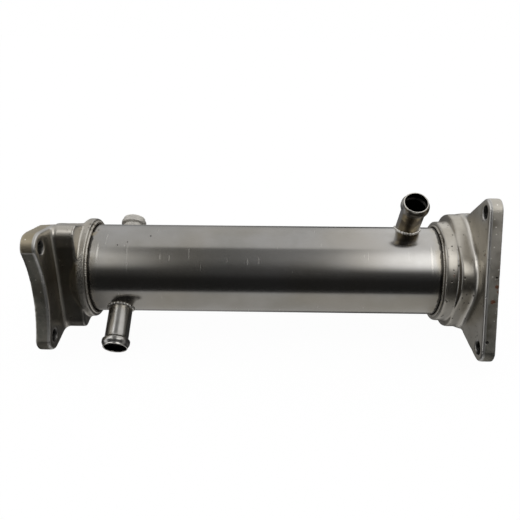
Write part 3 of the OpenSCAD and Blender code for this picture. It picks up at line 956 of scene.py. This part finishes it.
def bead_tree():
    """A rippled bead of metal along a closed line, with drops of spatter beside it."""
    g = Grower("weld_bead", {
        "Bead Radius": "Float", "Ripple Pitch": "Float", "Ripple Depth": "Float", "Lumps": "Float",
        "Wander": "Float", "Drops": "Int", "Drop Radius": "Float", "Seed": "Int",
    })
    step, lump_scale, least_bead, bead_steps = 0.28 * MM, 420.0, 0.72, 14
    path = g.node("GeometryNodeMeshToCurve", {0: g.take("Path")})
    path = g.node("GeometryNodeResampleCurve", {"Curve": path, "Length": step}, mode="LENGTH")
    place = g.node("GeometryNodeInputPosition")
    grain = {"Vector": place, "W": g.take("Seed"), "Scale": lump_scale, "Detail": 2.0}
    rough = g.node("ShaderNodeTexNoise", grain, noise_dimensions="4D")
    length = g.node("GeometryNodeSplineParameter", output="Length")
    phase = length / g.take("Ripple Pitch") + rough * 1.1
    ripple = abs((phase * math.pi).sine())
    scale = least_bead + (rough - 0.5) * g.take("Lumps") + ripple * g.take("Ripple Depth")
    push = g.vectors("SUBTRACT", {0: rough.also("Color"), 1: (0.5, 0.5, 0.5)})
    push = g.vectors("SCALE", {0: push, "Scale": g.take("Wander")})
    path = g.node("GeometryNodeSetPosition", {0: path, "Offset": push})
    ring = g.circle(bead_steps, "Bead Radius")
    bead = g.node("GeometryNodeCurveToMesh", {0: path, 1: ring, "Scale": scale})
    count = {0: path, "Count": g.take("Drops")}
    spots = g.node("GeometryNodeCurveToPoints", count, mode="COUNT")
    stray = g.random((-1, -1, -1), (1, 1, 1), g.take("Seed"), "FLOAT_VECTOR")
    stray = g.vectors("SCALE", {0: stray, "Scale": g.take("Bead Radius") * 0.7})
    spots = g.node("GeometryNodeSetPosition", {0: spots, "Offset": stray})
    ball = {"Radius": g.take("Drop Radius"), "Subdivisions": 2}
    drop = g.node("GeometryNodeMeshIcoSphere", ball)
    scatter = {0: spots, "Instance": drop, "Scale": g.random(0.35, 1.0, g.take("Seed") + 7)}
    drops = g.node("GeometryNodeInstanceOnPoints", scatter)
    return g.finish(g.join(drops, bead))


def tube_end_tree():
    """A small ring weld at every point of a pattern."""
    g = Grower("tube_end_welds", {"Ring Radius": "Float", "Bead Radius": "Float", "Seed": "Int"})
    ring, bead = g.circle(40, "Ring Radius"), g.circle(8, "Bead Radius")
    place = g.node("GeometryNodeInputPosition")
    lumps = g.node("ShaderNodeTexNoise", {"Vector": place, "Scale": 700.0})
    weld = g.node("GeometryNodeCurveToMesh", {0: ring, 1: bead, "Scale": 0.7 + lumps * 0.6})
    spin = g.random((0, 0, 0), (0, 0, 2 * math.pi), g.take("Seed"), "FLOAT_VECTOR")
    spin = g.node("FunctionNodeEulerToRotation", {0: spin})
    upright = g.node("FunctionNodeEulerToRotation", {0: (0, math.pi / 2, 0)})
    face = g.node("FunctionNodeRotateRotation", {0: upright, 1: spin}, rotation_space="LOCAL")
    welds = {0: g.take("Path"), "Instance": weld, "Rotation": face}
    return g.finish(g.node("GeometryNodeInstanceOnPoints", welds))


def grown(name, tree, path, values, *replaces):
    """Grows a weld along a path and keeps the result as a plain mesh."""
    piece = linked(name, path)
    growth = piece.modifiers.new("growth", "NODES")
    growth.node_group = tree
    for item in tree.interface.items_tree:
        if item.item_type == "SOCKET" and item.name in values:
            growth[item.identifier] = values[item.name]
    if not plain(piece).polygons:
        raise RuntimeError(name + " grew nothing")
    take_place(piece, "weld_steel", *replaces)


class Piece(bpy.types.Operator):
    bl_options = {"REGISTER", "UNDO"}


class COOLER_OT_shell(Piece):
    """Finish the shell tube"""

    bl_idname = "cooler.shell"
    bl_label = "Shell"

    def execute(self, context):
        _, look = settings()
        repaint("shell", polished_tube(look))
        return {"FINISHED"}


class COOLER_OT_castings(Piece):
    """Give both castings their cast skin"""

    bl_idname = "cooler.castings"
    bl_label = "Castings"

    def execute(self, context):
        sizes, look = settings()
        for end in (INLET, OUTLET):
            cast_skin(end, cast_steel(look, end), sizes)
        return {"FINISHED"}


class COOLER_OT_stubs(Piece):
    """Turn the three coolant stubs"""

    bl_idname = "cooler.stubs"
    bl_label = "Coolant stubs"

    def execute(self, context):
        sizes, look = settings()
        bore = bore_scale(look)
        for name, stub in STUBS.items():
            line = StubLine(name, sizes)
            materials = (stub_tube(look, name, line), bore)
            piece = linked(name + "_stub", turned_stub(name + "_stub", line, sizes, materials))
            take_place(piece, stub.slot, name + "_coolant_pipe")
        return {"FINISHED"}


class COOLER_OT_welds(Piece):
    """Lay the welds round the shell's ends and the braze round the stubs"""

    bl_idname = "cooler.welds"
    bl_label = "Welds"

    seam_seed, braze_seed = 11, 31

    def execute(self, context):
        sizes, look = settings()
        seam_metal = weld_metal(look, "seam", look.cast_bright)
        braze_metal = weld_metal(look, "braze", look.weld)
        tree = bead_tree()
        for seed, end in enumerate((INLET, OUTLET), self.seam_seed):
            self.seam(end, seed, seam_metal, tree, sizes)
        for seed, name in enumerate(STUBS, self.braze_seed):
            self.braze(name, seed, braze_metal, tree, sizes)
        return {"FINISHED"}

    def seam(self, end, seed, metal, tree, sizes):
        """The weld between a casting's rim and the shell."""
        bead = sizes.seam_radius * end.seam
        radius, x = SHELL_R + bead * 0.95, end.rim + end.inward * 0.1 * MM
        turns = round_turns(SEAM_TURNS)
        path = [(x, radius * math.cos(t), radius * math.sin(t)) for t in turns]
        values = {
            "Bead Radius": bead, "Ripple Pitch": sizes.seam_pitch, "Ripple Depth": 0.12,
            "Lumps": 0.3, "Wander": 0.3 * MM, "Drops": 10, "Drop Radius": 0.35 * MM,
            "Seed": seed, "Material": metal,
        }
        grown(end.name + "_seam", tree, loop_mesh(end.name, path), values, end.name + "_shell_weld")

    def braze(self, name, seed, metal, tree, sizes):
        """The braze where a stub enters the shell."""
        line, ragged = StubLine(name, sizes), STUBS[name].ragged
        bead = sizes.braze_radius * ragged
        radius, bed = line.radius + bead * 0.4, SHELL_R + bead * 0.25
        turns = round_turns(BRAZE_TURNS)
        path = [line.point(t, radius, line.foot(t, radius, bed)) for t in turns]
        values = {
            "Bead Radius": bead, "Ripple Pitch": sizes.braze_pitch, "Ripple Depth": 0.4 * ragged,
            "Lumps": 0.8 * ragged, "Wander": 0.6 * MM, "Drops": 30, "Drop Radius": 0.45 * MM,
            "Seed": seed, "Material": metal,
        }
        grown(name + "_braze", tree, loop_mesh(name, path), values, name + "_pipe_weld")


class COOLER_OT_bundle(Piece):
    """Finish the tube bundle and weld its tube ends"""

    bl_idname = "cooler.bundle"
    bl_label = "Tube bundle"

    weld_seed = 5

    def execute(self, context):
        sizes, look = settings()
        steel, tree = core_steel(look), tube_end_tree()
        metal = weld_metal(look, "tube_end", look.weld)
        for node in TUBES + ["inlet_tube_sheet", "outlet_tube_sheet", "baffle_1", "baffle_2"]:
            repaint(node, steel)
        boxes = [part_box(n) for n in TUBES]
        middles = [(low + high) / 2 for low, high in boxes]
        tube_r = (boxes[0][1].z - boxes[0][0].z) / 2
        for side, name in enumerate(("inlet", "outlet")):
            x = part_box(name + "_tube_sheet")[side].x
            path = mesh_of(name, [(x, m.y, m.z) for m in middles])
            values = {
                "Ring Radius": tube_r, "Bead Radius": sizes.tube_weld,
                "Seed": self.weld_seed + side, "Material": metal,
            }
            grown(name + "_tube_welds", tree, path, values)
        return {"FINISHED"}


def room_mesh(radius, half):
    """A tube round the gas axis."""
    points = []
    for turn in round_turns(ROOM_TURNS):
        y, z = radius * math.cos(turn), radius * math.sin(turn)
        points += [(MIDDLE - half, y, z), (MIDDLE + half, y, z)]
    count = len(points)
    faces = [(i, i + 1, (i + 3) % count, (i + 2) % count) for i in range(0, count, 2)]
    return mesh_of("room", points, faces)


def flat_mesh(name, corners):
    return mesh_of(name, corners, [(0, 1, 2, 3)])


class COOLER_OT_stage(Piece):
    """Set the floor, the cards that the metal reflects, the light and the camera"""

    bl_idname = "cooler.stage"
    bl_label = "Studio"

    white = (1, 1, 1, 1)
    paper = (0.9, 0.9, 0.9, 1)
    world_level = 0.62
    floor_half, floor_drop = 4.0, 0.2 * MM
    floor_glow, floor_seen = 1.03, 0.94
    room_radius, room_half = 1.2, 2.0
    card_reach = 1.15
    card_corners = ((-1.15, -0.8), (1.0, -0.8), (1.0, 0.55), (-1.15, 0.55))
    card_windows = {"left_card": (-1, 0.8), "right_card": (1, 0.25)}

    def execute(self, context):
        self.world()
        self.floor()
        self.card("room", room_mesh(self.room_radius, self.room_half), self.room)
        self.side_cards()
        self.camera()
        bpy.context.scene.view_settings.view_transform = "Standard"
        return {"FINISHED"}

    def world(self):
        world = bpy.data.worlds.new("studio")
        bpy.context.scene.world = world
        world.use_nodes = True
        world.node_tree.nodes.clear()
        sheet = Sheet(world.node_tree)
        seen = sheet.node("ShaderNodeLightPath", output="Is Camera Ray")
        level = self.world_level + seen * (1 - self.world_level)
        light = sheet.node("ShaderNodeBackground", {"Color": self.white, "Strength": level})
        sheet.node("ShaderNodeOutputWorld", {"Surface": light})

    def floor(self):
        """White paper that takes the shadow and that the metal does not mirror."""
        half, z = self.floor_half, CAD_BOX[0].z - self.floor_drop
        signs = ((-1, -1), (1, -1), (1, 1), (-1, 1))
        corners = [(MIDDLE + a * half, b * half, z) for a, b in signs]
        floor = linked("floor", flat_mesh("floor", corners))
        floor.visible_glossy = False
        f = Finish("floor")
        paper = f.node("ShaderNodeBsdfDiffuse", {"Color": self.paper})
        glow = self.glow(f, self.floor_glow)
        seen = f.node("ShaderNodeLightPath", output="Is Camera Ray") * self.floor_seen
        f.show(f.node("ShaderNodeMixShader", {0: seen, 1: paper, 2: glow}))
        floor.data.materials.append(f.material)

    def card(self, name, mesh, paint):
        """A card that shows in reflections alone."""
        card = linked(name, mesh)
        card.visible_camera = card.visible_diffuse = card.visible_shadow = False
        card.visible_transmission = card.visible_volume_scatter = False
        f = Finish(name)
        f.show(self.glow(f, paint(f)))
        mesh.materials.append(f.material)

    def glow(self, f, strength):
        return f.node("ShaderNodeEmission", {"Color": self.white, "Strength": strength})

    def seen_axes(self, f):
        """How far a point lies away from the viewer and up, as the viewer sees it."""
        cosine, sine = math.cos(VIEW_TILT), math.sin(VIEW_TILT)
        return f.y * cosine - f.z * sine, f.y * sine + f.z * cosine

    def room(self, f):
        """Brightness along the gas axis (x, from the middle) and round it (a, in degrees up from
        the viewer): a dark side with windows to the viewer, pale above, below and behind."""
        away, up = self.seen_axes(f)
        a = up.angle(0 - away) * (180 / math.pi)
        x = f.x - MIDDLE
        dark = 0.02 + 0.05 * a.rise(-30, -5) + (0.07 + 0.08 * x.rise(-0.25, 0.1)) * a.rise(-5, 28)
        right = 1.7 * x.rise(0.12, 0.46) * a.rise(-9, 16) * (1 - 0.45 * a.rise(30, 56))
        left = 0.85 * x.span(-0.53, -0.50, -0.45, -0.28) * a.rise(-9, 14)
        left = left * (1 - 0.65 * a.rise(22, 46))
        left_end = 1.9 * x.rise(-0.5, -0.57) * a.rise(20, 36)
        front = dark + right + left + left_end
        above = 0.60 + 0.38 * x.rise(0.05, 0.45) + 0.3 * x.rise(-0.52, -0.7)
        above = above - 0.1 * a.rise(120, 140)
        below = 0.04 + 0.09 * x.rise(0.2, 0.5) + 0.42 * x.span(-0.49, -0.40, 0.44, 0.50)
        behind = 0.26 - 0.21 * x.rise(-0.2, 0.2)
        top = a.rise(-1, 1)
        pale = above * top + below * (1 - top)
        pale = pale + abs(a).rise(140, 152) * (behind - pale)
        return pale + a.span(-65, -63, 53.8, 55.4) * (front - pale)

    def side_cards(self):
        """Dark flats beyond both ends with a window in each."""
        tilt = Matrix.Rotation(-VIEW_TILT, 3, "X")
        for name, (side, level) in self.card_windows.items():
            x = MIDDLE + side * self.card_reach
            mesh = flat_mesh(name, [tilt @ Vector((x, *c)) for c in self.card_corners])
            self.card(name, mesh, partial(self.window, level))

    def window(self, level, f):
        away, up = self.seen_axes(f)
        return 0.05 + level * away.span(-0.85, -0.6, -0.15, 0.05) + 0.3 * up.rise(0.25, 0.5)

    def camera(self):
        data = bpy.data.cameras.new("camera")
        camera = linked("camera", data)
        data.sensor_width, data.lens, data.clip_start = CAMERA_SENSOR, CAMERA_LENS, CAMERA_CLIP
        yaw, pitch, roll = CAMERA_LEAN
        axes = Matrix.Rotation(-VIEW_TILT, 3, "X") @ Matrix.Rotation(yaw, 3, "Z")
        axes = axes @ Matrix.Rotation(pitch, 3, "X") @ Matrix.Rotation(roll, 3, "Y")
        right, ahead, up = axes.col
        turn = Matrix((right, up, -ahead)).transposed()
        camera.matrix_world = Matrix.Translation(CAMERA_PLACE) @ turn.to_4x4()
        bpy.context.scene.camera = camera


OPERATORS = (
    COOLER_OT_stage, COOLER_OT_shell, COOLER_OT_castings, COOLER_OT_stubs, COOLER_OT_welds,
    COOLER_OT_bundle,
)


class COOLER_PT_panel(bpy.types.Panel):
    """Sizes, finishes and pieces of the gas cooler"""

    bl_label = "Gas cooler"
    bl_idname = "COOLER_PT_panel"
    bl_space_type = "VIEW_3D"
    bl_region_type = "UI"
    bl_category = "Gas cooler"

    def draw(self, context):
        for group in settings():
            box = self.layout.box()
            for key in group.bl_rna.properties.keys():
                if key not in ("rna_type", "name"):
                    box.prop(group, key)
        for operator in OPERATORS:
            self.layout.operator(operator.bl_idname)


CLASSES = (CoolerSizes, CoolerFinish, *OPERATORS, COOLER_PT_panel)


def register():
    for made in CLASSES:
        bpy.utils.register_class(made)
    bpy.types.Scene.cooler_sizes = PointerProperty(type=CoolerSizes)
    bpy.types.Scene.cooler_finish = PointerProperty(type=CoolerFinish)


def unregister():
    del bpy.types.Scene.cooler_finish
    del bpy.types.Scene.cooler_sizes
    for made in reversed(CLASSES):
        bpy.utils.unregister_class(made)


def main():
    register()
    for operator in OPERATORS:
        getattr(bpy.ops.cooler, operator.bl_idname.split(".")[1])()


if __name__ == "__main__":
    main()
